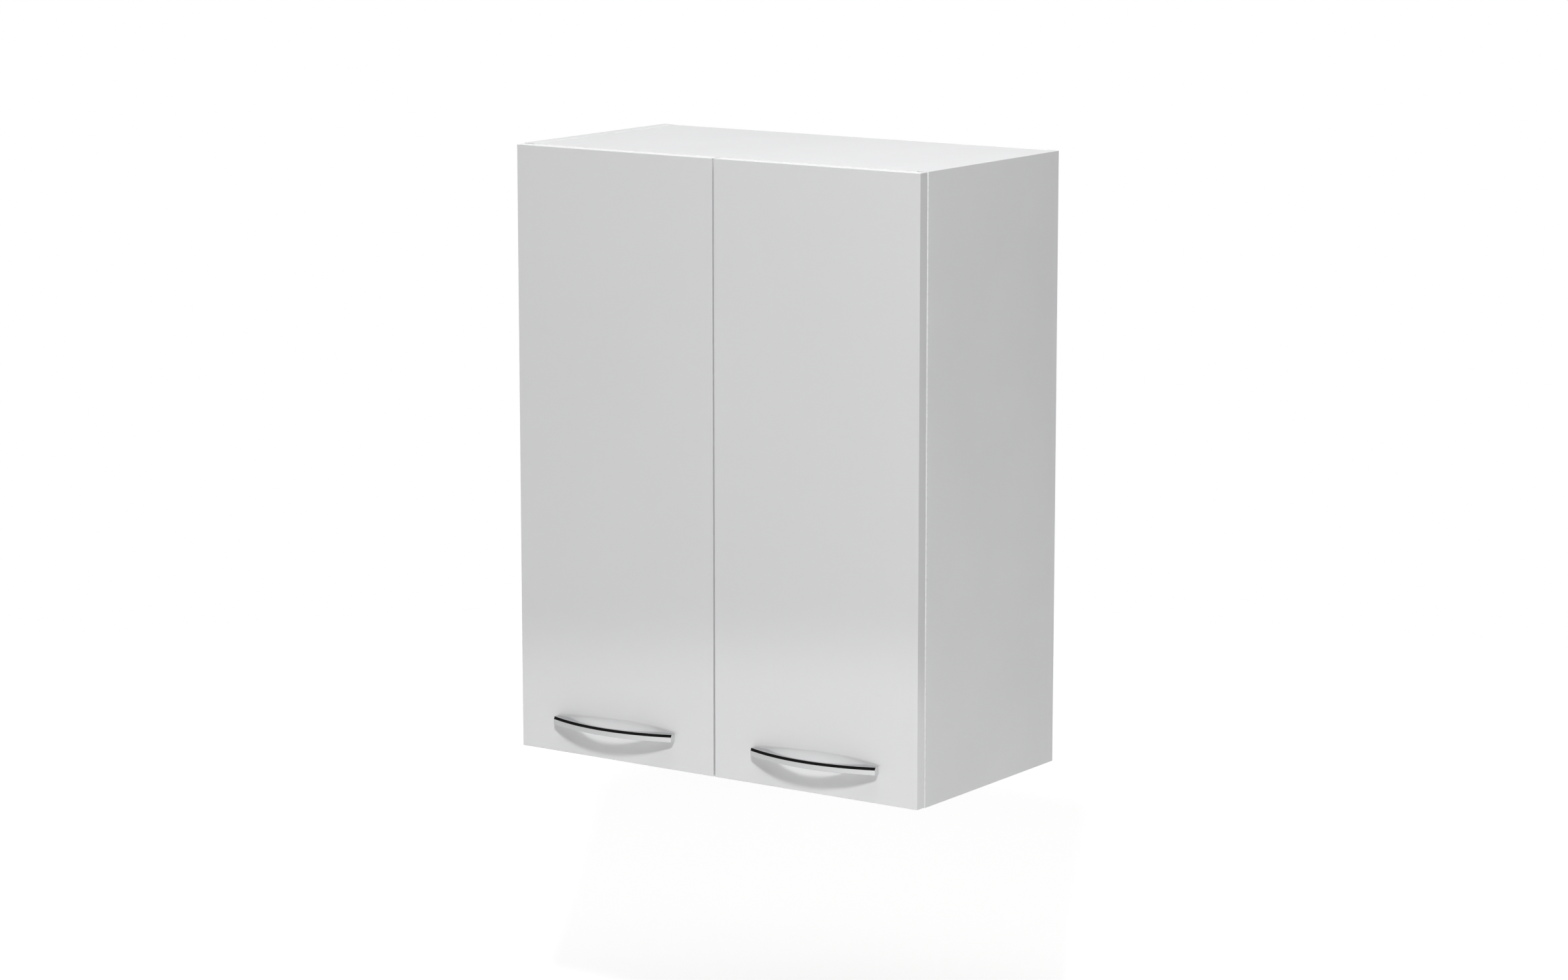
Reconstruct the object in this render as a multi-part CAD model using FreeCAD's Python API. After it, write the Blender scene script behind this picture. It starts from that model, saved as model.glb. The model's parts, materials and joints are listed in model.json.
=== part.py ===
import FreeCAD, Part
import math
import os

# Hanging wall cabinet with two overlay doors on concealed hinges.
# Row frame: origin at the middle of the wall rail's hole line, on the wall plane.
# +X to the right seen from the front, +Y towards the wall, +Z up. Millimetres.

os.makedirs("parts", exist_ok=True)

V = FreeCAD.Vector

# ---- carcass ----
WIDTH = 600.0
HEIGHT = 770.0
CARCASS_DEPTH = 296.0
Z_TOP = 48.0
Z_BOTTOM = Z_TOP - HEIGHT
BOARD = 16.0
X_IN = WIDTH / 2 - BOARD
Y_FRONT = -CARCASS_DEPTH
SIDE_BAND = 2.0
THIN_BAND = 1.0
THIN_BAND_R = 0.25
BOARD_EDGE_R = 0.5
TOP_DROP = 0.6
BACK_THICK = 3.0
BACK_Y = -21.0
GROOVE_DEPTH = 7.0
GROOVE_SLACK = 0.1
BACK_ENGAGE = 6.0

# ---- shelves and their pins ----
SHELF_FRONT_INSET = 13.0
SHELF_BACK_GAP = 2.0
SHELF_SIDE_GAP = 1.0
PIN_R = 2.5
PIN_HEAD_R = 4.0
PIN_FLAT = 3.5
PIN_LENGTH = 12.0
PIN_REACH = 8.0
PIN_PITCH = 32.0
PIN_STEPS = 2
PIN_ROWS_Y = (Y_FRONT + 37.0, -67.0)
SHELF_PIN_Z = (Z_BOTTOM + 256.0, Z_BOTTOM + 512.0)

# ---- corner fittings ----
CAM_R = 7.5
CAM_DEPTH = 12.5
CAM_INSET = 24.0
CAM_Y = (-250.0, -60.0)
DOWEL_R = 4.0
DOWEL_IN_SIDE = 11.0
DOWEL_IN_PANEL = 19.0
DOWEL_Y = (-218.0, -92.0)
BOLT_SHANK_R = 3.3
BOLT_THREAD_R = 2.5
FIT = 0.05

# ---- wall rail and hangers ----
RAIL_LENGTH = 560.0
RAIL_THICK = 2.0
RAIL_LOW = -16.0
RAIL_SHELF_Z = 10.0
RAIL_LIP_Z = 26.0
RAIL_DEPTH = 8.0
RAIL_HOLE_X = 240.0
RAIL_HOLE_R = 3.25
HOOK_THICK = 3.0
HOOK_HALF_W = 7.0
HOOK_X = X_IN - 11.0
HOUSING_W = 20.0
HOUSING_Z = (-38.0, 24.0)
HOUSING_Y = (-60.0, BACK_Y - 0.3)
HOUSING_PEG_R = 5.0
HOUSING_PEG_IN = 10.0
HOUSING_PEGS = ((-36.0, -20.0), (-36.0, 12.0))
ADJUST_Z = (-14.0, 4.0)
ADJUST_R = 3.0
HOOK_SLOT = 0.4

# ---- doors ----
DOOR_THICK = 15.0
DOOR_GAP = 1.0
REVEAL = 0.75
CENTRE_GAP = 2.5
DOOR_W = WIDTH / 2 - REVEAL - CENTRE_GAP / 2
DOOR_BACK = Y_FRONT - DOOR_GAP
DOOR_FRONT = DOOR_BACK - DOOR_THICK
DOOR_EDGE_R = 0.5
BUMPER_R = 4.0
BUMPER_THICK = 0.9

# ---- handles ----
HANDLE_Z = Z_BOTTOM + 42.2
HANDLE_OUTSET = 1.7
HANDLE_LENGTH = 183.0
HANDLE_HALF_H = 4.8
HANDLE_END = 8.0
HANDLE_RISE = 26.5
HANDLE_BAND = 4.5
HANDLE_CHAMFER = (3.3, 1.5)
HANDLE_INNER_HALF = 72.0
HANDLE_SCREW_X = 80.0
HANDLE_SCREW_R = 2.0

# ---- hinges ----
HINGE_Z = (Z_TOP - 100.0, Z_BOTTOM + 100.0)
CUP_INSET = 22.5
CUP_R = 17.5
CUP_DEPTH = 11.3
CUP_SCREW_OFFSET = 6.0
CUP_SCREW_Z = 24.0
CUP_SCREW_R = 1.75
FLANGE_T = 0.7
# plan coordinates: u from the side's outer face, v from the carcass front into the cabinet
PIVOT_A = (36.4, 15.0)
PIVOT_B = (26.37, -6.88)
PIVOT_C = (10.7, -2.1)
PIVOT_D = (14.05, -5.8)
CENTRE_LINK_RISE = 7.0
SIDE_LINK_RISE = 3.0
HOOK_CENTRE = (14.2, -5.75)
HINGE_R = 1.2
EYE_R = 2.15
CUP_PIN_R = 1.0
CUP_EYE_R = 1.75
LINK_HALF_T = 1.2
CENTRE_HALF_W = 2.3
SIDE_LINK_W = (2.6, 4.4)
NOSE_W = (4.7, 6.2)
CAVITY_HALF_U = 15.4
CAVITY_HALF_W = 6.6
CAVITY_DEPTH = 9.9
PIN_HALF_W = 10.0
ARM_TOP = 39.5
ARM_SHEET = 1.5
ARM_HALF_W = 10.0
ARM_NECK_V = 28.0
ARM_END_V = 78.0
HOOK_END_R = 3.75
HOOK_EYE_R = 2.75
ARM_SCREW_R = 3.0
ARM_SCREW_V = (38.0, 66.0)
PLATE_TOP = 36.0
PLATE_SCREW_Y = Y_FRONT + 37.0
PLATE_SCREW_R = 2.5
PLATE_SCREW_IN = 11.0
PLATE_SCREW_Z = 16.0


def box(x0, x1, y0, y1, z0, z1):
    lo = V(min(x0, x1), min(y0, y1), min(z0, z1))
    return Part.makeBox(abs(x1 - x0), abs(y1 - y0), abs(z1 - z0), lo)


def cyl(r, length, base, axis):
    return Part.makeCylinder(r, length, base, axis)


def fuse(shapes):
    solid = shapes[0]
    if len(shapes) > 1:
        solid = solid.multiFuse(shapes[1:])
    return solid.removeSplitter()


def cut(solid, tools):
    for tool in tools:
        solid = solid.cut(tool)
    return solid


def group(shapes):
    solids = []
    for shape in shapes:
        solids.extend(shape.Solids)
    return Part.makeCompound(solids)


def mirror_x(shape):
    return shape.mirror(V(0, 0, 0), V(1, 0, 0))


def save(node, shape):
    for solid in shape.Solids:
        if not solid.isValid():
            raise ValueError(node + " has a bad solid")
    shape.exportStep("parts/" + node + ".step")


def round_edges(solid, radius, wanted):
    edges = [edge for edge in solid.Edges if wanted(edge)]
    return solid.makeFillet(radius, edges)


def on_plane(edge, axis, value):
    return all(abs(getattr(vertex.Point, axis) - value) < 1e-4 for vertex in edge.Vertexes)


# ---- side panels (built on the left, mirrored to the right) ----
TOP_MID_Z = Z_TOP - TOP_DROP - BOARD / 2
BOTTOM_MID_Z = Z_BOTTOM + BOARD / 2
X_LEFT = -WIDTH / 2
ALONG_X = V(1, 0, 0)


def side_hole(radius, depth, y, z):
    return cyl(radius, depth, V(-X_IN - depth, y, z), ALONG_X)


def build_side():
    board = box(X_LEFT, -X_IN, Y_FRONT + SIDE_BAND, 0, Z_BOTTOM, Z_TOP)
    board = round_edges(board, BOARD_EDGE_R, lambda e: e.BoundBox.YLength > CARCASS_DEPTH - 3)
    groove = box(-X_IN - GROOVE_DEPTH, -X_IN, BACK_Y - GROOVE_SLACK, BACK_Y + BACK_THICK + GROOVE_SLACK,
                 Z_BOTTOM + BOARD - GROOVE_DEPTH, Z_TOP - TOP_DROP - BOARD + GROOVE_DEPTH)
    tools = [groove]
    for z_mid in (TOP_MID_Z, BOTTOM_MID_Z):
        for y in CAM_Y:
            tools.append(side_hole(BOLT_THREAD_R + FIT, 11.5, y, z_mid))
        for y in DOWEL_Y:
            tools.append(side_hole(DOWEL_R + FIT, DOWEL_IN_SIDE + 0.5, y, z_mid))
    for y in PIN_ROWS_Y:
        for z_mid in SHELF_PIN_Z:
            for step in range(-PIN_STEPS, PIN_STEPS + 1):
                tools.append(side_hole(PIN_R, PIN_LENGTH + 0.5, y, z_mid + step * PIN_PITCH))
    for z_mid in HINGE_Z:
        for sign in (-1, 1):
            tools.append(side_hole(PLATE_SCREW_R + FIT, PLATE_SCREW_IN + 0.5, PLATE_SCREW_Y,
                                   z_mid + sign * PLATE_SCREW_Z))
    for y, z in HOUSING_PEGS:
        tools.append(side_hole(HOUSING_PEG_R + FIT, HOUSING_PEG_IN + 0.5, y, z))
    return cut(board, tools)


def build_side_band():
    band = box(X_LEFT, -X_IN, Y_FRONT, Y_FRONT + SIDE_BAND, Z_BOTTOM, Z_TOP)
    return round_edges(band, 1.2, lambda e: on_plane(e, "y", Y_FRONT) and e.Length > HEIGHT - 1)


# ---- top, bottom and shelves ----
def panel_end_tools(z_mid, face_z, into):
    tools = []
    for side in (-1, 1):
        axis = V(-side, 0, 0)
        for y in CAM_Y:
            centre = V(side * (X_IN - CAM_INSET), y, face_z)
            tools.append(cyl(CAM_R + FIT, CAM_DEPTH, centre, V(0, 0, into)))
            tools.append(cyl(BOLT_SHANK_R + 0.2, CAM_INSET, V(side * X_IN, y, z_mid), axis))
        for y in DOWEL_Y:
            tools.append(cyl(DOWEL_R + FIT, DOWEL_IN_PANEL + 0.5, V(side * X_IN, y, z_mid), axis))
    return tools


def build_panel(z_low, into):
    board = box(-X_IN, X_IN, Y_FRONT + THIN_BAND, 0, z_low, z_low + BOARD)
    inner_z = z_low if into > 0 else z_low + BOARD
    groove = box(-X_IN, X_IN, BACK_Y - GROOVE_SLACK, BACK_Y + BACK_THICK + GROOVE_SLACK,
                 inner_z, inner_z + into * GROOVE_DEPTH)
    return cut(board, [groove] + panel_end_tools(z_low + BOARD / 2, inner_z, into))


def build_shelf(z_low):
    half = X_IN - SHELF_SIDE_GAP
    y0 = Y_FRONT + SHELF_FRONT_INSET + THIN_BAND
    return box(-half, half, y0, BACK_Y - SHELF_BACK_GAP, z_low, z_low + BOARD)


def build_shelf_band(z_low):
    half = X_IN - SHELF_SIDE_GAP
    y0 = Y_FRONT + SHELF_FRONT_INSET
    band = box(-half, half, y0, y0 + THIN_BAND, z_low, z_low + BOARD)
    return round_edges(band, 0.6, lambda e: on_plane(e, "y", y0) and e.Length > 100)


def build_thin_band(z_low):
    band = box(-X_IN, X_IN, Y_FRONT, Y_FRONT + THIN_BAND, z_low, z_low + BOARD)
    return round_edges(band, THIN_BAND_R, lambda e: on_plane(e, "y", Y_FRONT) and e.Length > 100)


def build_back():
    half = X_IN + BACK_ENGAGE
    z0 = Z_BOTTOM + BOARD - BACK_ENGAGE
    z1 = Z_TOP - TOP_DROP - BOARD + BACK_ENGAGE
    panel = box(-half, half, BACK_Y, BACK_Y + BACK_THICK, z0, z1)
    windows = []
    for side in (-1, 1):
        windows.append(box(side * (HOOK_X - HOOK_HALF_W - 3), side * (X_IN - 0.5),
                           BACK_Y - 1, BACK_Y + BACK_THICK + 1, RAIL_SHELF_Z - 2, RAIL_LIP_Z + 5))
    return cut(panel, windows)


# ---- corner connectors ----
def build_cam(side, y, face_z, into):
    x = side * (X_IN - CAM_INSET)
    disc = cyl(CAM_R, CAM_DEPTH - 0.2, V(x, y, face_z), V(0, 0, into))
    z_mid = face_z + into * BOARD / 2
    mouth = box(x, x + side * (CAM_R + 1), y - 3.6, y + 3.6, z_mid - 3.6, z_mid + 3.6)
    pocket = cyl(3.9, 7.8, V(x, y, z_mid - 3.9), V(0, 0, 1))
    drive = box(x - 4.5, x + 4.5, y - 0.8, y + 0.8, face_z, face_z + into * 2.0)
    cross = box(x - 0.8, x + 0.8, y - 4.5, y + 4.5, face_z, face_z + into * 2.0)
    return cut(disc, [mouth, pocket, drive, cross])


def build_bolt(side, y, z_mid):
    inward = V(-side, 0, 0)
    thread = cyl(BOLT_THREAD_R, 11, V(side * (X_IN + 11), y, z_mid), inward)
    shank = cyl(BOLT_SHANK_R, CAM_INSET - 7, V(side * X_IN, y, z_mid), inward)
    neck = cyl(2.0, 5, V(side * (X_IN - CAM_INSET + 7), y, z_mid), inward)
    head = cyl(3.2, 4.5, V(side * (X_IN - CAM_INSET + 2.5), y, z_mid), inward)
    return fuse([thread, shank, neck, head])


def build_dowel(side, y, z_mid):
    length = DOWEL_IN_SIDE + DOWEL_IN_PANEL
    peg = cyl(DOWEL_R, length, V(side * (X_IN + DOWEL_IN_SIDE), y, z_mid), V(-side, 0, 0))
    return peg.makeChamfer(0.8, [e for e in peg.Edges if abs(e.Length - 2 * math.pi * DOWEL_R) < 0.01])


def build_shelf_pin(side, y, z):
    shank = cyl(PIN_R - FIT, PIN_LENGTH, V(side * (X_IN + PIN_LENGTH), y, z), V(-side, 0, 0))
    head = cyl(PIN_HEAD_R, PIN_REACH, V(side * X_IN, y, z), V(-side, 0, 0))
    flat = box(side * (X_IN + 1), side * (X_IN - PIN_REACH - 1), y - 6, y + 6, z + PIN_FLAT, z + 8)
    return fuse([shank, head.cut(flat)])


# ---- wall rail and hangers (left one built, right one mirrored) ----
def build_rail():
    half = RAIL_LENGTH / 2
    strip = box(-half, half, -RAIL_THICK, 0, RAIL_LOW, RAIL_SHELF_Z)
    web = box(-half, half, -RAIL_DEPTH, 0, RAIL_SHELF_Z - RAIL_THICK, RAIL_SHELF_Z)
    lip = box(-half, half, -RAIL_DEPTH, -RAIL_DEPTH + RAIL_THICK, RAIL_SHELF_Z - RAIL_THICK, RAIL_LIP_Z)
    rail = fuse([strip, web, lip])
    lip_top = RAIL_LIP_Z - 0.1
    rail = round_edges(rail, 0.9, lambda e: e.Length > RAIL_LENGTH - 1 and e.CenterOfMass.z > lip_top)
    holes = []
    for x in (-RAIL_HOLE_X, RAIL_HOLE_X):
        holes.append(cyl(RAIL_HOLE_R, RAIL_THICK + 2, V(x, -RAIL_THICK - 1, 0), V(0, 1, 0)))
    return cut(rail, holes)


def build_housing():
    y0, y1 = HOUSING_Y
    z0, z1 = HOUSING_Z
    body = box(-X_IN, -X_IN + HOUSING_W, y0, y1, z0, z1 + 7.0)
    body = round_edges(body, 2.0, lambda e: on_plane(e, "x", -X_IN + HOUSING_W))
    pegs = [cyl(HOUSING_PEG_R, HOUSING_PEG_IN + 0.1, V(-X_IN - HOUSING_PEG_IN, y, z), ALONG_X)
            for y, z in HOUSING_PEGS]
    body = fuse([body] + pegs)
    slot = box(-HOOK_X - HOOK_HALF_W - HOOK_SLOT, -HOOK_X + HOOK_HALF_W + HOOK_SLOT, y0 + 8, y1 + 1,
               RAIL_LIP_Z - HOOK_SLOT, RAIL_LIP_Z + HOOK_THICK + HOOK_SLOT)
    stem = box(-HOOK_X - 3.4, -HOOK_X + 3.4, y0 + 8, y0 + 8 + HOOK_THICK + 1.0, z0 + 8, RAIL_LIP_Z + 1)
    bores = [cyl(ADJUST_R + FIT, 60, V(-HOOK_X, y0 - 1, z), V(0, 1, 0)).common(
        box(-X_IN, 0, y0 - 1, y0 + 8.0, -60, 60)) for z in ADJUST_Z]
    return cut(body, [slot, stem] + bores)


def build_hook():
    y0 = HOUSING_Y[0] + 8.5
    tongue_y = -RAIL_DEPTH + RAIL_THICK + 0.4
    arm = box(-HOOK_X - HOOK_HALF_W, -HOOK_X + HOOK_HALF_W, y0, tongue_y + RAIL_THICK, RAIL_LIP_Z,
              RAIL_LIP_Z + HOOK_THICK)
    tongue = box(-HOOK_X - HOOK_HALF_W, -HOOK_X + HOOK_HALF_W, tongue_y, tongue_y + RAIL_THICK,
                 RAIL_SHELF_Z + 4, RAIL_LIP_Z + HOOK_THICK)
    stem = box(-HOOK_X - 3.0, -HOOK_X + 3.0, y0, y0 + HOOK_THICK, HOUSING_Z[0] + 9, RAIL_LIP_Z + HOOK_THICK)
    return fuse([arm, tongue, stem])


def build_adjust_screws():
    screws = []
    for z in ADJUST_Z:
        y0 = HOUSING_Y[0]
        shaft = cyl(ADJUST_R, 7.5 + 1.2, V(-HOOK_X, y0 - 1.2, z), V(0, 1, 0))
        slot = [box(-HOOK_X - 2.2, -HOOK_X + 2.2, y0 - 2, y0 + 0.4, z - 0.5, z + 0.5),
                box(-HOOK_X - 0.5, -HOOK_X + 0.5, y0 - 2, y0 + 0.4, z - 2.2, z + 2.2)]
        screws.append(cut(shaft, slot))
    return group(screws)


def build_hanger_cover():
    y0 = HOUSING_Y[0]
    z0, z1 = HOUSING_Z
    gap = 0.3
    wall = 1.2
    x1 = -X_IN + HOUSING_W + gap
    outer = box(-X_IN, x1 + wall, y0 - 1.6 - wall, HOUSING_Y[1], z0 - gap - wall, z1 + 7.0 + 0.2)
    outer = round_edges(outer, 3.0, lambda e: on_plane(e, "y", y0 - 1.6 - wall) and e.CenterOfMass.z < z1)
    inner = box(-X_IN - 1, x1, y0 - 1.6, HOUSING_Y[1] + 1, z0 - gap, z1 + 8.0)
    return outer.cut(inner)


# ---- doors (built on the left, mirrored to the right) ----
CUP_X = X_LEFT + REVEAL + CUP_INSET
HANDLE_X = -CENTRE_GAP / 2 - DOOR_W / 2 - HANDLE_OUTSET
OUTWARD = V(0, -1, 0)
INWARD = V(0, 1, 0)


def build_door():
    x0 = X_LEFT + REVEAL
    leaf = box(x0, x0 + DOOR_W, DOOR_FRONT, DOOR_BACK, Z_BOTTOM + REVEAL, Z_TOP - REVEAL)
    leaf = round_edges(leaf, DOOR_EDGE_R, lambda e: on_plane(e, "y", DOOR_FRONT))
    tools = []
    for z in HINGE_Z:
        tools.append(cyl(CUP_R, CUP_DEPTH + 0.1, V(CUP_X, DOOR_BACK, z), OUTWARD))
        for sign in (-1, 1):
            tools.append(cyl(CUP_SCREW_R + FIT, 11.0,
                             V(CUP_X + CUP_SCREW_OFFSET, DOOR_BACK, z + sign * CUP_SCREW_Z), OUTWARD))
    for sign in (-1, 1):
        tools.append(cyl(HANDLE_SCREW_R + 0.25, DOOR_THICK,
                         V(HANDLE_X + sign * HANDLE_SCREW_X, DOOR_BACK, HANDLE_Z), OUTWARD))
    return cut(leaf, tools)


def build_handle():
    half = HANDLE_LENGTH / 2

    def point(x, out):
        return V(HANDLE_X + x, DOOR_FRONT - out, HANDLE_Z - HANDLE_HALF_H)

    outline = [
        Part.makeLine(point(-half, 0), point(-half, HANDLE_END)),
        Part.Arc(point(-half, HANDLE_END), point(0, HANDLE_RISE), point(half, HANDLE_END)).toShape(),
        Part.makeLine(point(half, HANDLE_END), point(half, 0)),
        Part.makeLine(point(half, 0), point(HANDLE_INNER_HALF, 0)),
        Part.Arc(point(HANDLE_INNER_HALF, 0), point(0, HANDLE_RISE - HANDLE_BAND),
                 point(-HANDLE_INNER_HALF, 0)).toShape(),
        Part.makeLine(point(-HANDLE_INNER_HALF, 0), point(-half, 0)),
    ]
    bow = Part.Face(Part.Wire(outline)).extrude(V(0, 0, 2 * HANDLE_HALF_H))
    rims = [edge for edge in bow.Edges if edge.BoundBox.XLength > HANDLE_LENGTH - 1
            and edge.CenterOfMass.y < DOOR_FRONT - HANDLE_END]
    bow = bow.makeFillet(0.5, [edge for edge in rims if edge.CenterOfMass.z < HANDLE_Z])
    rims = [edge for edge in bow.Edges if edge.BoundBox.XLength > HANDLE_LENGTH - 1
            and edge.CenterOfMass.y < DOOR_FRONT - HANDLE_END and edge.CenterOfMass.z > HANDLE_Z]
    bow = bow.makeChamfer(*HANDLE_CHAMFER, rims)
    threads = []
    for sign in (-1, 1):
        base = V(HANDLE_X + sign * HANDLE_SCREW_X, DOOR_FRONT, HANDLE_Z)
        threads.append(cyl(HANDLE_SCREW_R + FIT, 8.0, base, OUTWARD))
    return cut(bow, threads)


def build_handle_screws():
    screws = []
    for sign in (-1, 1):
        x = HANDLE_X + sign * HANDLE_SCREW_X
        head = cyl(4.0, 2.2, V(x, DOOR_BACK, HANDLE_Z), INWARD)
        head = round_edges(head, 0.9, lambda e: on_plane(e, "y", DOOR_BACK + 2.2))
        shaft = cyl(HANDLE_SCREW_R, DOOR_THICK + 7.0, V(x, DOOR_BACK, HANDLE_Z), OUTWARD)
        slots = [box(x - 2.0, x + 2.0, DOOR_BACK + 1.0, DOOR_BACK + 3, HANDLE_Z - 0.4, HANDLE_Z + 0.4),
                 box(x - 0.4, x + 0.4, DOOR_BACK + 1.0, DOOR_BACK + 3, HANDLE_Z - 2.0, HANDLE_Z + 2.0)]
        screws.append(cut(fuse([head, shaft]), slots))
    return group(screws)


def build_bumpers():
    x = -CENTRE_GAP / 2 - 14.0
    heights = (TOP_MID_Z, BOTTOM_MID_Z)
    return group([cyl(BUMPER_R, BUMPER_THICK, V(x, DOOR_BACK, z), INWARD) for z in heights])


# ---- concealed hinges (plan coordinates: u from the side's outer face, v from the carcass front) ----


def plan(u, v, w, hinge_z):
    return V(X_LEFT + u, Y_FRONT + v, hinge_z + w)


def plan_box(u0, u1, v0, v1, w0, w1, hinge_z):
    return box(X_LEFT + u0, X_LEFT + u1, Y_FRONT + v0, Y_FRONT + v1, hinge_z + w0, hinge_z + w1)


def plan_disc(point, radius, w0, w1, hinge_z):
    return cyl(radius, w1 - w0, plan(point[0], point[1], w0, hinge_z), V(0, 0, 1))


def plan_prism(points, w0, w1, hinge_z):
    corners = [plan(u, v, w0, hinge_z) for u, v in points]
    return Part.Face(Part.makePolygon(corners + corners[:1])).extrude(V(0, 0, w1 - w0))


def bent_strip(p, q, rise, half, t1, w0, w1, hinge_z):
    du = q[0] - p[0]
    dv = q[1] - p[1]
    length = math.hypot(du, dv)

    def at(t, offset):
        lift = 4 * rise * t * (1 - t)
        slope = 4 * rise * (1 - 2 * t) / length
        norm = math.hypot(1, slope)
        along = t * length - offset * slope / norm
        across = lift + offset / norm
        return plan(p[0] + (du * along - dv * across) / length,
                    p[1] + (dv * along + du * across) / length, w0, hinge_z)

    steps = [t1 * k / 4 for k in range(5)]
    upper = Part.BSplineCurve()
    upper.interpolate([at(t, half) for t in steps])
    lower = Part.BSplineCurve()
    lower.interpolate([at(t, -half) for t in steps])
    outline = [upper.toShape(), Part.makeLine(at(t1, half), at(t1, -half)), lower.toShape(),
               Part.makeLine(at(0, half), at(0, -half))]
    face = Part.Face(Part.Wire(Part.__sortEdges__(outline)))
    return face.extrude(V(0, 0, w1 - w0))


def both_cheeks(builder, widths):
    low, high = widths
    return [builder(low, high), builder(-high, -low)]


def build_cup(hz):
    bowl = cyl(CUP_R - FIT, CUP_DEPTH, V(CUP_X, DOOR_BACK, hz), OUTWARD)
    flange = cyl(CUP_R + 1.5, FLANGE_T, V(CUP_X, DOOR_BACK, hz), INWARD)
    mid_u = REVEAL + CUP_INSET
    wing_u = mid_u + CUP_SCREW_OFFSET
    back_v = -DOOR_GAP
    wing = plan_box(wing_u - 6, wing_u + 6, back_v, back_v + FLANGE_T, -CUP_SCREW_Z, CUP_SCREW_Z, hz)
    ends = [cyl(6, FLANGE_T, V(CUP_X + CUP_SCREW_OFFSET, DOOR_BACK, hz + sign * CUP_SCREW_Z), INWARD)
            for sign in (-1, 1)]
    body = fuse([bowl, flange, wing] + ends)
    cavity = plan_box(mid_u - CAVITY_HALF_U, mid_u + CAVITY_HALF_U, back_v - CAVITY_DEPTH, 0,
                      -CAVITY_HALF_W, CAVITY_HALF_W, hz)
    cavity = cavity.common(cyl(CUP_R - 0.9, 30, V(CUP_X, Y_FRONT + 5, hz), OUTWARD))
    tools = [cavity]
    for sign in (-1, 1):
        base = V(CUP_X + CUP_SCREW_OFFSET, DOOR_BACK + 2, hz + sign * CUP_SCREW_Z)
        tools.append(cyl(CUP_SCREW_R + FIT, 3, base, OUTWARD))
    for pivot in (PIVOT_C, PIVOT_D):
        tools.append(plan_disc(pivot, CUP_PIN_R + FIT, -PIN_HALF_W - 0.1, PIN_HALF_W + 0.1, hz))
    return cut(body, tools)


def build_cup_screws(hz):
    screws = []
    for sign in (-1, 1):
        base = V(CUP_X + CUP_SCREW_OFFSET, DOOR_BACK + FLANGE_T, hz + sign * CUP_SCREW_Z)
        head = cyl(3.4, 1.4, base, INWARD)
        head = round_edges(head, 0.8, lambda e: on_plane(e, "y", DOOR_BACK + FLANGE_T + 1.4))
        shaft = cyl(CUP_SCREW_R, 10.0 + FLANGE_T, base, OUTWARD)
        top = DOOR_BACK + FLANGE_T
        slots = [box(base.x - 1.8, base.x + 1.8, top + 0.5, top + 2, base.z - 0.35, base.z + 0.35),
                 box(base.x - 0.35, base.x + 0.35, top + 0.5, top + 2, base.z - 1.8, base.z + 1.8)]
        screws.append(cut(fuse([head, shaft]), slots))
    return group(screws)


def build_centre_link(hz):
    w = CENTRE_HALF_W
    strip = bent_strip(PIVOT_A, PIVOT_C, CENTRE_LINK_RISE, LINK_HALF_T, 1.0, -w, w, hz)
    link = fuse([strip, plan_disc(PIVOT_A, EYE_R, -w, w, hz), plan_disc(PIVOT_C, CUP_EYE_R, -w, w, hz)])
    return cut(link, [plan_disc(PIVOT_A, HINGE_R + FIT, -w - 1, w + 1, hz),
                      plan_disc(PIVOT_C, CUP_PIN_R + FIT, -w - 1, w + 1, hz)])


def build_side_links(hz):
    reach = 0.72

    def cheek(w0, w1):
        strip = bent_strip(PIVOT_B, PIVOT_D, SIDE_LINK_RISE, LINK_HALF_T, reach, w0, w1, hz)
        inside = plan_disc(HOOK_CENTRE, HOOK_EYE_R, w0, w1, hz)
        hook = plan_disc(HOOK_CENTRE, HOOK_END_R, w0, w1, hz).cut(inside)
        mouth = [HOOK_CENTRE]
        for angle in range(-42, 166, 26):
            mouth.append((HOOK_CENTRE[0] + 9 * math.cos(math.radians(angle)),
                          HOOK_CENTRE[1] + 9 * math.sin(math.radians(angle))))
        hook = hook.cut(plan_prism(mouth, w0 - 1, w1 + 1, hz))
        eye = plan_disc(PIVOT_B, EYE_R, w0, w1, hz)
        link = fuse([strip.cut(inside), hook, eye])
        return cut(link, [plan_disc(PIVOT_B, HINGE_R + FIT, w0 - 1, w1 + 1, hz)])

    return group(both_cheeks(cheek, SIDE_LINK_W))


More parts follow.
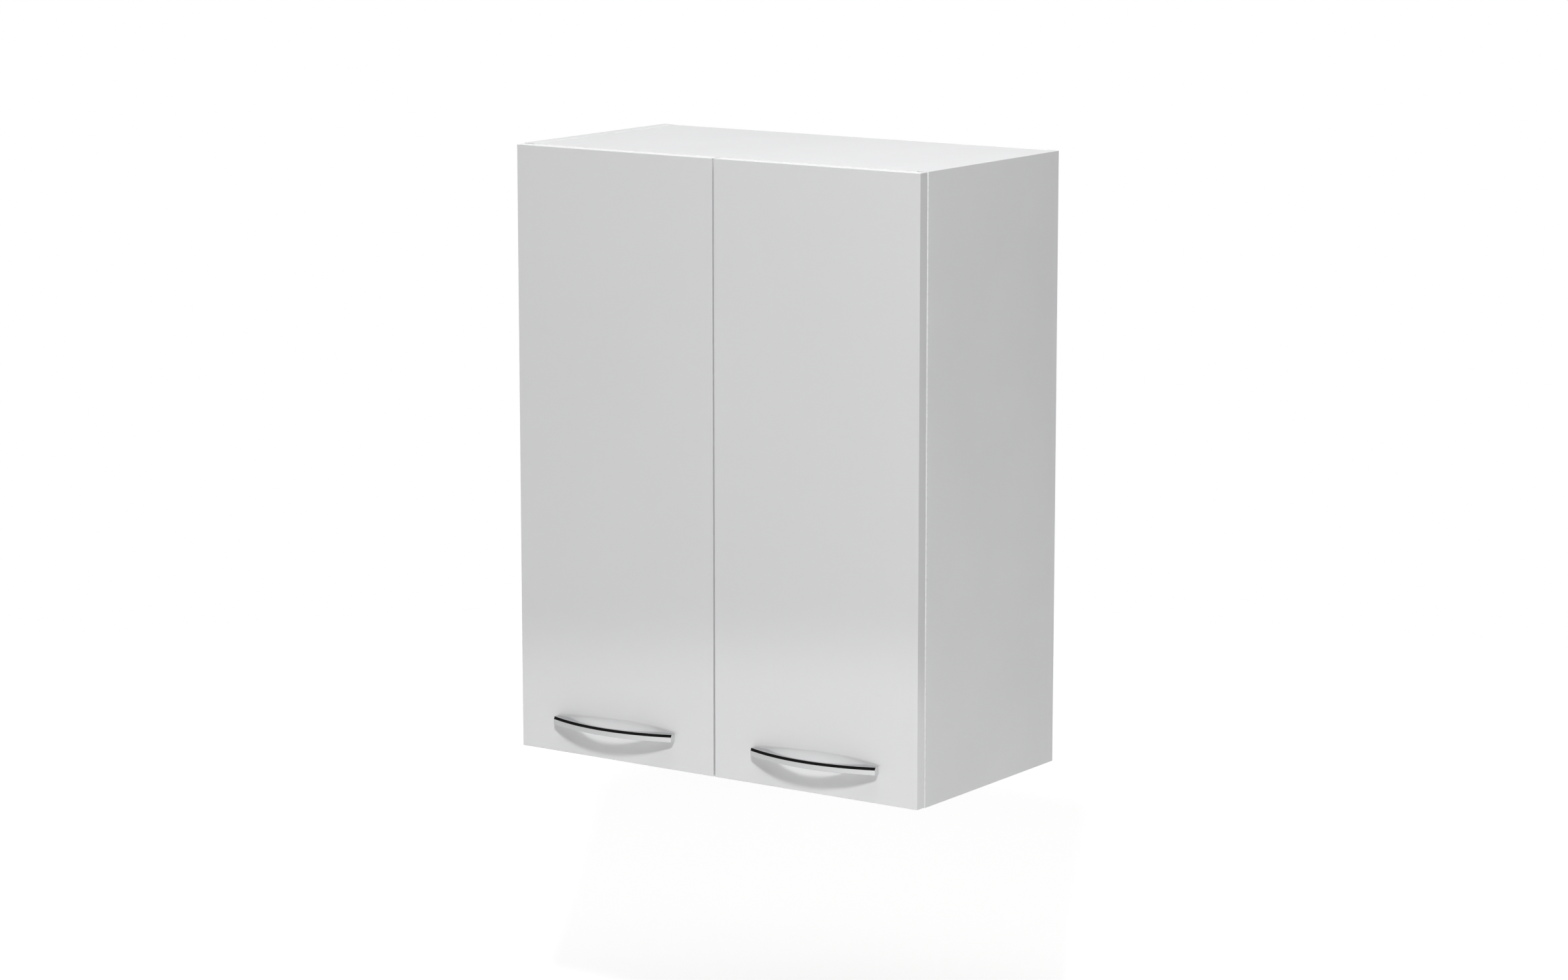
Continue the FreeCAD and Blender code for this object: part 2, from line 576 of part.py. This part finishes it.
def build_arm(hz):
    def nose(w0, w1):
        au, av = PIVOT_A
        bu, bv = PIVOT_B
        corners = [(bu - 2.1, bv + 0.6), (bu + 2.2, bv - 0.4), (ARM_TOP, av - 2),
                   (ARM_TOP, ARM_NECK_V), (au - 9, ARM_NECK_V), (au - 6, av + 1)]
        web = plan_prism(corners, w0, w1, hz)
        plate = fuse([web, plan_disc(PIVOT_B, 2.2, w0, w1, hz)])
        return cut(plate, [plan_disc(PIVOT_A, HINGE_R + FIT, w0 - 1, w1 + 1, hz),
                           plan_disc(PIVOT_B, HINGE_R + FIT, w0 - 1, w1 + 1, hz)])

    def rear(w0, w1):
        return plan_prism([(ARM_TOP, ARM_NECK_V), (ARM_TOP, ARM_END_V), (26, ARM_END_V),
                           (23, ARM_END_V - 6), (23, ARM_NECK_V + 8), (29, ARM_NECK_V)], w0, w1, hz)

    half = ARM_HALF_W
    neck_end = ARM_NECK_V + ARM_SHEET
    shoulders = both_cheeks(lambda w0, w1: plan_box(ARM_TOP - 12, ARM_TOP, ARM_NECK_V, neck_end, w0, w1, hz),
                            (NOSE_W[0], half))
    top_front = plan_box(ARM_TOP - ARM_SHEET, ARM_TOP, 18.5, ARM_NECK_V + 1, -NOSE_W[1], NOSE_W[1], hz)
    top_rear = plan_box(ARM_TOP - ARM_SHEET, ARM_TOP, ARM_NECK_V, ARM_END_V, -half, half, hz)
    body = fuse(both_cheeks(nose, NOSE_W) + both_cheeks(rear, (half - ARM_SHEET, half)) + shoulders
                + [top_front, top_rear])
    holes = [cyl(ARM_SCREW_R + 0.1, 6, plan(ARM_TOP - 4, v, 0, hz), ALONG_X) for v in ARM_SCREW_V]
    return cut(body, holes)


def build_plate(hz):
    base_u = BOARD
    wings = plan_box(base_u, base_u + 3, 29, 45, -24, 24, hz)
    wings = round_edges(wings, 5.0, lambda e: e.BoundBox.XLength > 2.9 and e.BoundBox.YLength < 0.01
                        and e.BoundBox.ZLength < 0.01)
    rail = plan_box(base_u, PLATE_TOP, 31, 76, -8, 8, hz)
    rail = round_edges(rail, 1.5, lambda e: on_plane(e, "x", X_LEFT + PLATE_TOP))
    hollow = plan_box(base_u + 6, PLATE_TOP + 1, 44, 60, -5.5, 5.5, hz)
    body = cut(fuse([wings, rail]), [hollow])
    tools = []
    for sign in (-1, 1):
        w = sign * PLATE_SCREW_Z
        tools.append(cyl(PLATE_SCREW_R + FIT, 6, plan(base_u - 1, 37, w, hz), ALONG_X))
        tools.append(cyl(4.6, 3, plan(base_u + 1.6, 37, w, hz), ALONG_X))
    for v in ARM_SCREW_V:
        tools.append(cyl(ARM_SCREW_R + FIT, 8.2, plan(PLATE_TOP - 8, v, 0, hz), ALONG_X))
    return cut(body, tools)


def build_plate_screws(hz):
    screws = []
    for sign in (-1, 1):
        w = sign * PLATE_SCREW_Z
        shaft = cyl(PLATE_SCREW_R, PLATE_SCREW_IN + 1.7, plan(BOARD - PLATE_SCREW_IN, 37, w, hz), ALONG_X)
        head = cyl(4.5, 1.4, plan(BOARD + 1.6, 37, w, hz), ALONG_X)
        slots = [plan_box(BOARD + 2.2, BOARD + 4, 34.6, 39.4, w - 0.5, w + 0.5, hz),
                 plan_box(BOARD + 2.2, BOARD + 4, 36.5, 37.5, w - 2.4, w + 2.4, hz)]
        screws.append(cut(fuse([shaft, head]), slots))
    return group(screws)


def build_arm_screws(hz):
    screws = []
    for v in ARM_SCREW_V:
        shaft = cyl(ARM_SCREW_R, ARM_TOP - PLATE_TOP + 7.5, plan(PLATE_TOP - 7.5, v, 0, hz), ALONG_X)
        head = cyl(4.6, 2.0, plan(ARM_TOP, v, 0, hz), ALONG_X)
        head = round_edges(head, 0.7, lambda e: on_plane(e, "x", X_LEFT + ARM_TOP + 2.0))
        slots = [plan_box(ARM_TOP + 0.9, ARM_TOP + 3, v - 2.6, v + 2.6, -0.5, 0.5, hz),
                 plan_box(ARM_TOP + 0.9, ARM_TOP + 3, v - 0.5, v + 0.5, -2.6, 2.6, hz)]
        screws.append(cut(fuse([shaft, head]), slots))
    return group(screws)


def build_arm_pins(hz):
    through = plan_disc(PIVOT_A, HINGE_R, -NOSE_W[1] - 0.3, NOSE_W[1] + 0.3, hz)
    stubs = both_cheeks(lambda w0, w1: plan_disc(PIVOT_B, HINGE_R, w0, w1, hz), (SIDE_LINK_W[0], NOSE_W[1]))
    return group([through] + stubs)


def build_cup_pins(hz):
    through = plan_disc(PIVOT_C, CUP_PIN_R, -PIN_HALF_W, PIN_HALF_W, hz)
    widths = (SIDE_LINK_W[0], PIN_HALF_W)
    stubs = both_cheeks(lambda w0, w1: plan_disc(PIVOT_D, CUP_PIN_R, w0, w1, hz), widths)
    return group([through] + stubs)


# ---- write every node ----
SHELF_LOW_Z = SHELF_PIN_Z[0] + PIN_FLAT
SHELF_HIGH_Z = SHELF_PIN_Z[1] + PIN_FLAT
TOP_LOW_Z = TOP_MID_Z - BOARD / 2

side = build_side()
side_band = build_side_band()
save("side_left", side)
save("side_right", mirror_x(side))
save("band_side_left", side_band)
save("band_side_right", mirror_x(side_band))
save("top_panel", build_panel(TOP_LOW_Z, 1))
save("band_top", build_thin_band(TOP_LOW_Z))
save("bottom_panel", build_panel(Z_BOTTOM, -1))
save("band_bottom", build_thin_band(Z_BOTTOM))
save("back_panel", build_back())
save("shelf_lower", build_shelf(SHELF_LOW_Z))
save("shelf_upper", build_shelf(SHELF_HIGH_Z))
save("band_shelf_lower", build_shelf_band(SHELF_LOW_Z))
save("band_shelf_upper", build_shelf_band(SHELF_HIGH_Z))

SIDES = (-1, 1)
ENDS = ((TOP_LOW_Z, 1, TOP_MID_Z), (Z_BOTTOM + BOARD, -1, BOTTOM_MID_Z))
cams = []
bolts = []
dowels = []
pins = []
for s in SIDES:
    for face, into, mid in ENDS:
        cams.extend(build_cam(s, y, face, into) for y in CAM_Y)
        bolts.extend(build_bolt(s, y, mid) for y in CAM_Y)
        dowels.extend(build_dowel(s, y, mid) for y in DOWEL_Y)
    for z in SHELF_PIN_Z:
        pins.extend(build_shelf_pin(s, y, z) for y in PIN_ROWS_Y)
save("cam_locks", group(cams))
save("cam_bolts", group(bolts))
save("dowels", group(dowels))
save("shelf_pins", group(pins))
save("wall_rail", build_rail())

PAIRED = (
    ("hanger_housing", build_housing),
    ("hanger_hook", build_hook),
    ("hanger_screws", build_adjust_screws),
    ("hanger_cover", build_hanger_cover),
    ("door", build_door),
    ("handle", build_handle),
    ("handle_screws", build_handle_screws),
    ("door_bumpers", build_bumpers),
)
for name, builder in PAIRED:
    shape = builder()
    save(name + "_left", shape)
    save(name + "_right", mirror_x(shape))

HINGED = (
    ("hinge_cups", build_cup),
    ("cup_screws", build_cup_screws),
    ("centre_links", build_centre_link),
    ("side_links", build_side_links),
    ("hinge_arms", build_arm),
    ("hinge_plates", build_plate),
    ("plate_screws", build_plate_screws),
    ("arm_screws", build_arm_screws),
    ("arm_pins", build_arm_pins),
    ("cup_pins", build_cup_pins),
)
for name, builder in HINGED:
    shape = group([builder(hinge_z) for hinge_z in HINGE_Z])
    save(name + "_left", shape)
    save(name + "_right", mirror_x(shape))
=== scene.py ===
import json
import math

import bpy
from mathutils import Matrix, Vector


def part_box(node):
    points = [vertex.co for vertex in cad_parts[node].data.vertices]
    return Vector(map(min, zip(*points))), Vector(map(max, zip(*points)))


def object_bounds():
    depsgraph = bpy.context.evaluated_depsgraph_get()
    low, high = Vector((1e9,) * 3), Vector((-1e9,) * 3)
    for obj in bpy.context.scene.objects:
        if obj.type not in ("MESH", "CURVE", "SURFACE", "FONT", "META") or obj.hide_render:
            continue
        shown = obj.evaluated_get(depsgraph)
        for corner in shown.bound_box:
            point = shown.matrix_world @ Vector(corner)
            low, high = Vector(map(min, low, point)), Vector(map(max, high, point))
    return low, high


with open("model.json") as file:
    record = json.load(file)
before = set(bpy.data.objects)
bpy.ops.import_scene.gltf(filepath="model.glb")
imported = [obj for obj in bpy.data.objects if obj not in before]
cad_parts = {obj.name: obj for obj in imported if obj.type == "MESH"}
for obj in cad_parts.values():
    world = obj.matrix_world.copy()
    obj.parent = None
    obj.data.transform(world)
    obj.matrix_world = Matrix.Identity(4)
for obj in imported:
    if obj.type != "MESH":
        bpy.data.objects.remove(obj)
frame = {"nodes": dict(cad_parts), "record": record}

start_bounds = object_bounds()

# ------------------------------------------------------------------ node helpers


def new_material(name):
    mat = bpy.data.materials.new(name)
    mat.use_nodes = True
    tree = mat.node_tree
    tree.nodes.clear()
    out = tree.nodes.new("ShaderNodeOutputMaterial")
    bsdf = tree.nodes.new("ShaderNodeBsdfPrincipled")
    tree.links.new(bsdf.outputs["BSDF"], out.inputs["Surface"])
    return mat, tree, bsdf


def object_coords(tree, dims=None):
    source = tree.nodes.new("ShaderNodeTexCoord").outputs["Object"]
    if dims is None:
        return source
    mapping = tree.nodes.new("ShaderNodeMapping")
    mapping.inputs["Scale"].default_value = dims
    tree.links.new(source, mapping.inputs["Vector"])
    return mapping.outputs["Vector"]


def noise(tree, scale, detail=3.0, rough=0.5, dims=None):
    node = tree.nodes.new("ShaderNodeTexNoise")
    node.inputs["Scale"].default_value = scale
    node.inputs["Detail"].default_value = detail
    node.inputs["Roughness"].default_value = rough
    tree.links.new(object_coords(tree, dims), node.inputs["Vector"])
    return node.outputs["Fac"]


def cells(tree, scale, dims=None):
    node = tree.nodes.new("ShaderNodeTexVoronoi")
    node.inputs["Scale"].default_value = scale
    tree.links.new(object_coords(tree, dims), node.inputs["Vector"])
    return node


def ramp(tree, fac, stops):
    node = tree.nodes.new("ShaderNodeValToRGB")
    elements = node.color_ramp.elements
    while len(elements) < len(stops):
        elements.new(0.5)
    for element, (pos, value) in zip(elements, stops):
        element.position = pos
        colour = value if isinstance(value, tuple) else (value, value, value)
        element.color = (*colour, 1.0)
    tree.links.new(fac, node.inputs["Fac"])
    return node.outputs["Color"]


def math_node(tree, op, *values):
    node = tree.nodes.new("ShaderNodeMath")
    node.operation = op
    for socket, value in zip(node.inputs, values):
        if isinstance(value, (int, float)):
            socket.default_value = value
        else:
            tree.links.new(value, socket)
    return node.outputs["Value"]


def mix(tree, fac, a, b):
    node = tree.nodes.new("ShaderNodeMix")
    node.data_type = "RGBA"
    for index, value in ((0, fac), (6, a), (7, b)):
        socket = node.inputs[index]
        if isinstance(value, tuple):
            socket.default_value = (*value, 1.0)
        else:
            tree.links.new(value, socket)
    return node.outputs[2]


def bump(tree, height, strength, distance):
    node = tree.nodes.new("ShaderNodeBump")
    node.inputs["Strength"].default_value = strength
    node.inputs["Distance"].default_value = distance
    tree.links.new(height, node.inputs["Height"])
    return node.outputs["Normal"]


# 0 to 1 as the face turns towards the wall
def facing_wall(tree, low, high):
    geometry = tree.nodes.new("ShaderNodeNewGeometry")
    split = tree.nodes.new("ShaderNodeSeparateXYZ")
    tree.links.new(geometry.outputs["True Normal"], split.inputs["Vector"])
    node = tree.nodes.new("ShaderNodeMapRange")
    node.inputs["From Min"].default_value = low
    node.inputs["From Max"].default_value = high
    tree.links.new(split.outputs["Y"], node.inputs["Value"])
    return node.outputs["Result"]


# ------------------------------------------------------------------ finishes


def chipboard(tree):
    flakes = cells(tree, 420.0, dims=(1.0, 1.0, 0.35))
    grain = noise(tree, 900.0, 4.0, 0.6)
    tone = math_node(tree, "ADD", flakes.outputs["Distance"], math_node(tree, "MULTIPLY", grain, 0.7))
    tans = [(0.25, (0.36, 0.24, 0.13)), (0.6, (0.55, 0.40, 0.24)), (0.95, (0.68, 0.54, 0.36))]
    return ramp(tree, tone, tans)


def board_material():
    mat, tree, bsdf = new_material("white_board")
    cloud = noise(tree, 9.0, 2.0)
    white = ramp(tree, cloud, [(0.3, (0.775, 0.778, 0.785)), (0.7, (0.795, 0.798, 0.805))])
    raw = facing_wall(tree, 0.85, 0.95)
    tree.links.new(mix(tree, raw, white, chipboard(tree)), bsdf.inputs["Base Color"])
    rough = ramp(tree, noise(tree, 60.0, 3.0), [(0.2, 0.40), (0.8, 0.48)])
    tree.links.new(mix(tree, raw, rough, (0.9, 0.9, 0.9)), bsdf.inputs["Roughness"])
    fine = noise(tree, 2600.0, 2.0)
    tree.links.new(bump(tree, fine, 0.12, 0.0002), bsdf.inputs["Normal"])
    bsdf.inputs["Specular IOR Level"].default_value = 0.3
    return mat


def band_material():
    mat, tree, bsdf = new_material("edge_band")
    cloud = noise(tree, 25.0, 2.0)
    tree.links.new(ramp(tree, cloud, [(0.3, (0.80, 0.803, 0.81)), (0.7, (0.83, 0.833, 0.84))]),
                   bsdf.inputs["Base Color"])
    tree.links.new(ramp(tree, noise(tree, 180.0), [(0.3, 0.24), (0.7, 0.32)]), bsdf.inputs["Roughness"])
    tree.links.new(bump(tree, noise(tree, 420.0, 1.0), 0.006, 0.0002), bsdf.inputs["Normal"])
    return mat


def back_material():
    mat, tree, bsdf = new_material("back_board")
    fibre = noise(tree, 700.0, 5.0, 0.7)
    brown = ramp(tree, fibre, [(0.3, (0.20, 0.115, 0.06)), (0.7, (0.33, 0.20, 0.11))])
    white = ramp(tree, noise(tree, 14.0), [(0.3, (0.74, 0.74, 0.73)), (0.7, (0.77, 0.77, 0.76))])
    raw = facing_wall(tree, 0.4, 0.6)
    tree.links.new(mix(tree, raw, white, brown), bsdf.inputs["Base Color"])
    bsdf.inputs["Roughness"].default_value = 0.62
    tree.links.new(bump(tree, fibre, 0.25, 0.0003), bsdf.inputs["Normal"])
    return mat


DOOR_BACK_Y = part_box("door_left")[1].y


# the door's back face is satin, the rest of the door is gloss
def gloss_material():
    mat, tree, bsdf = new_material("white_gloss")
    cloud = noise(tree, 5.0, 2.0)
    tree.links.new(ramp(tree, cloud, [(0.3, (0.782, 0.784, 0.79)), (0.7, (0.79, 0.792, 0.798))]),
                   bsdf.inputs["Base Color"])
    bsdf.inputs["Roughness"].default_value = 0.5
    bsdf.inputs["Specular IOR Level"].default_value = 0.0
    split = tree.nodes.new("ShaderNodeSeparateXYZ")
    tree.links.new(object_coords(tree), split.inputs["Vector"])
    gloss = math_node(tree, "LESS_THAN", split.outputs["Y"], DOOR_BACK_Y - 0.0002)
    tree.links.new(gloss, bsdf.inputs["Coat Weight"])
    bsdf.inputs["Coat Roughness"].default_value = 0.03
    bsdf.inputs["Coat IOR"].default_value = 2.0
    peel = bump(tree, noise(tree, 140.0, 1.0), 0.015, 0.0004)
    tree.links.new(peel, bsdf.inputs["Coat Normal"])
    return mat


# low and high bound the roughness; spots is the scale of a galvanised spangle
def metal(name, colour, low, high, scale, bump_strength, spots=None):
    mat, tree, bsdf = new_material(name)
    bsdf.inputs["Metallic"].default_value = 1.0
    if spots is None:
        bsdf.inputs["Base Color"].default_value = (*colour, 1.0)
    else:
        dark = tuple(c * 0.86 for c in colour)
        spangle = cells(tree, spots).outputs["Color"]
        tree.links.new(ramp(tree, spangle, [(0.2, dark), (0.8, colour)]), bsdf.inputs["Base Color"])
    field = noise(tree, scale)
    tree.links.new(ramp(tree, field, [(0.3, low), (0.7, high)]), bsdf.inputs["Roughness"])
    if bump_strength:
        tree.links.new(bump(tree, field, bump_strength, 0.0003), bsdf.inputs["Normal"])
    return mat


def plastic(name, colour, roughness, bump_strength=0.1):
    mat, tree, bsdf = new_material(name)
    bsdf.inputs["Base Color"].default_value = (*colour, 1.0)
    bsdf.inputs["Roughness"].default_value = roughness
    tree.links.new(bump(tree, noise(tree, 1800.0), bump_strength, 0.0002), bsdf.inputs["Normal"])
    return mat


def clear_material():
    mat, tree, bsdf = new_material("clear_bumper")
    bsdf.inputs["Base Color"].default_value = (0.86, 0.88, 0.89, 1.0)
    bsdf.inputs["Roughness"].default_value = 0.22
    bsdf.inputs["Transmission Weight"].default_value = 0.7
    bsdf.inputs["IOR"].default_value = 1.45
    return mat


def beech_material():
    mat, tree, bsdf = new_material("beech")
    grain = noise(tree, 320.0, 4.0, dims=(0.15, 1.0, 1.0))
    tree.links.new(ramp(tree, grain, [(0.3, (0.52, 0.33, 0.18)), (0.7, (0.68, 0.48, 0.30))]),
                   bsdf.inputs["Base Color"])
    bsdf.inputs["Roughness"].default_value = 0.65
    return mat


MATERIALS = {
    "white_board": board_material(),
    "edge_band": band_material(),
    "back_board": back_material(),
    "white_gloss": gloss_material(),
    "chrome": metal("chrome", (0.74, 0.745, 0.75), 0.03, 0.05, 260.0, 0.0),
    "nickel": metal("nickel", (0.70, 0.685, 0.65), 0.26, 0.36, 500.0, 0.03),
    "plated_steel": metal("plated_steel", (0.60, 0.60, 0.61), 0.24, 0.34, 900.0, 0.08),
    "galvanised_steel": metal("galvanised_steel", (0.60, 0.62, 0.63), 0.30, 0.42, 120.0, 0.05, spots=90.0),
    "zinc": metal("zinc", (0.50, 0.50, 0.52), 0.38, 0.5, 1400.0, 0.2),
    "white_plastic": plastic("white_plastic", (0.76, 0.76, 0.75), 0.42),
    "clear_bumper": clear_material(),
    "beech": beech_material(),
}

POLISHED_EDGE = 0.0003


def soften(node):
    bevel = node.modifiers.new("soft_edges", "BEVEL")
    bevel.width = POLISHED_EDGE
    bevel.segments = 3
    bevel.limit_method = "ANGLE"
    bevel.angle_limit = math.radians(35.0)
    bevel.harden_normals = True
    bevel.use_clamp_overlap = True


for row in frame["record"]["subparts"]:
    node = frame["nodes"][row["node"]]
    node.data.materials.clear()
    node.data.materials.append(MATERIALS[row["material_slot"]])

for name in ("handle_left", "handle_right"):
    soften(frame["nodes"][name])

# ------------------------------------------------------------------ floor

FLOOR_Z = start_bounds[0].z - 0.42
FLOOR_RADIUS = 3.2
# distances from the middle where the floor starts to fade and is gone
FLOOR_FADE = (2.35, 3.15)
FLOOR_GLOW = 0.46


def build_floor():
    bpy.ops.mesh.primitive_circle_add(vertices=96, radius=FLOOR_RADIUS, fill_type="NGON",
                                      location=(0.0, -0.3, FLOOR_Z))
    floor = bpy.context.object
    floor.name = "stage_floor"
    mat, tree, bsdf = new_material("stage_floor")
    bsdf.inputs["Base Color"].default_value = (0.75, 0.75, 0.75, 1.0)
    bsdf.inputs["Roughness"].default_value = 0.9
    bsdf.inputs["Specular IOR Level"].default_value = 0.2
    bsdf.inputs["Emission Color"].default_value = (1.0, 1.0, 1.0, 1.0)
    path = tree.nodes.new("ShaderNodeLightPath")
    glow = math_node(tree, "MULTIPLY", path.outputs["Is Camera Ray"], FLOOR_GLOW)
    tree.links.new(glow, bsdf.inputs["Emission Strength"])
    length = tree.nodes.new("ShaderNodeVectorMath")
    length.operation = "LENGTH"
    tree.links.new(object_coords(tree), length.inputs[0])
    fade = tree.nodes.new("ShaderNodeMapRange")
    fade.interpolation_type = "SMOOTHSTEP"
    fade.inputs["From Min"].default_value = FLOOR_FADE[0]
    fade.inputs["From Max"].default_value = FLOOR_FADE[1]
    fade.inputs["To Min"].default_value = 1.0
    fade.inputs["To Max"].default_value = 0.0
    tree.links.new(length.outputs["Value"], fade.inputs["Value"])
    tree.links.new(fade.outputs["Result"], bsdf.inputs["Alpha"])
    floor.data.materials.append(mat)


build_floor()

# ------------------------------------------------------------------ light


CENTRE = (start_bounds[0] + start_bounds[1]) / 2
TOP_POWER = 63.0
KEY_POWER = 132.0
SKY_GAIN = 1.38


# shows: whether polished surfaces mirror the lamp
def area_light(name, place, size, power, shows=True):
    data = bpy.data.lights.new(name, "AREA")
    data.shape = "SQUARE"
    data.size = size
    data.energy = power
    light = bpy.data.objects.new(name, data)
    bpy.context.scene.collection.objects.link(light)
    light.location = place
    light.rotation_euler = (CENTRE - Vector(place)).to_track_quat("-Z", "Y").to_euler()
    light.visible_camera = False
    light.visible_glossy = shows


area_light("top_soft", (0.1, 0.3, 4.6), 4.4, TOP_POWER)
area_light("key_soft", (1.80, -3.15, 2.70), 0.5, KEY_POWER, shows=False)

# height of a sky ray as (sin of its elevation + 1) / 2, and the brightness there
SKY = [(0.0, 0.3), (0.38, 0.03), (0.50, 0.03), (0.52, 0.7),
       (0.575, 0.7), (0.61, 0.01), (0.90, 0.01), (0.97, 1.5)]


def build_world():
    world = bpy.data.worlds.new("studio")
    bpy.context.scene.world = world
    world.use_nodes = True
    tree = world.node_tree
    tree.nodes.clear()
    out = tree.nodes.new("ShaderNodeOutputWorld")
    path = tree.nodes.new("ShaderNodeLightPath")
    seen = tree.nodes.new("ShaderNodeBackground")
    seen.inputs["Color"].default_value = (1.0, 1.0, 1.0, 1.0)
    lit = tree.nodes.new("ShaderNodeBackground")
    lit.inputs["Strength"].default_value = SKY_GAIN
    coords = tree.nodes.new("ShaderNodeTexCoord")
    split = tree.nodes.new("ShaderNodeSeparateXYZ")
    tree.links.new(coords.outputs["Generated"], split.inputs["Vector"])
    height = math_node(tree, "MULTIPLY_ADD", split.outputs["Z"], 0.5, 0.5)
    tree.links.new(ramp(tree, height, SKY), lit.inputs["Color"])
    chooser = tree.nodes.new("ShaderNodeMixShader")
    tree.links.new(path.outputs["Is Camera Ray"], chooser.inputs["Fac"])
    tree.links.new(lit.outputs["Background"], chooser.inputs[1])
    tree.links.new(seen.outputs["Background"], chooser.inputs[2])
    tree.links.new(chooser.outputs["Shader"], out.inputs["Surface"])


build_world()
bpy.context.scene.view_settings.view_transform = "Standard"

# ------------------------------------------------------------------ camera

camera_data = bpy.data.cameras.new("camera")
camera_data.lens = 104.3
camera_data.sensor_width = 36.0
camera_data.clip_end = 60.0
camera = bpy.data.objects.new("camera", camera_data)
bpy.context.scene.collection.objects.link(camera)
camera.location = (3.181, -4.776, 0.621)
camera.rotation_euler = (math.radians(90.0 - 10.15), 0.0, math.radians(34.57))
bpy.context.scene.camera = camera
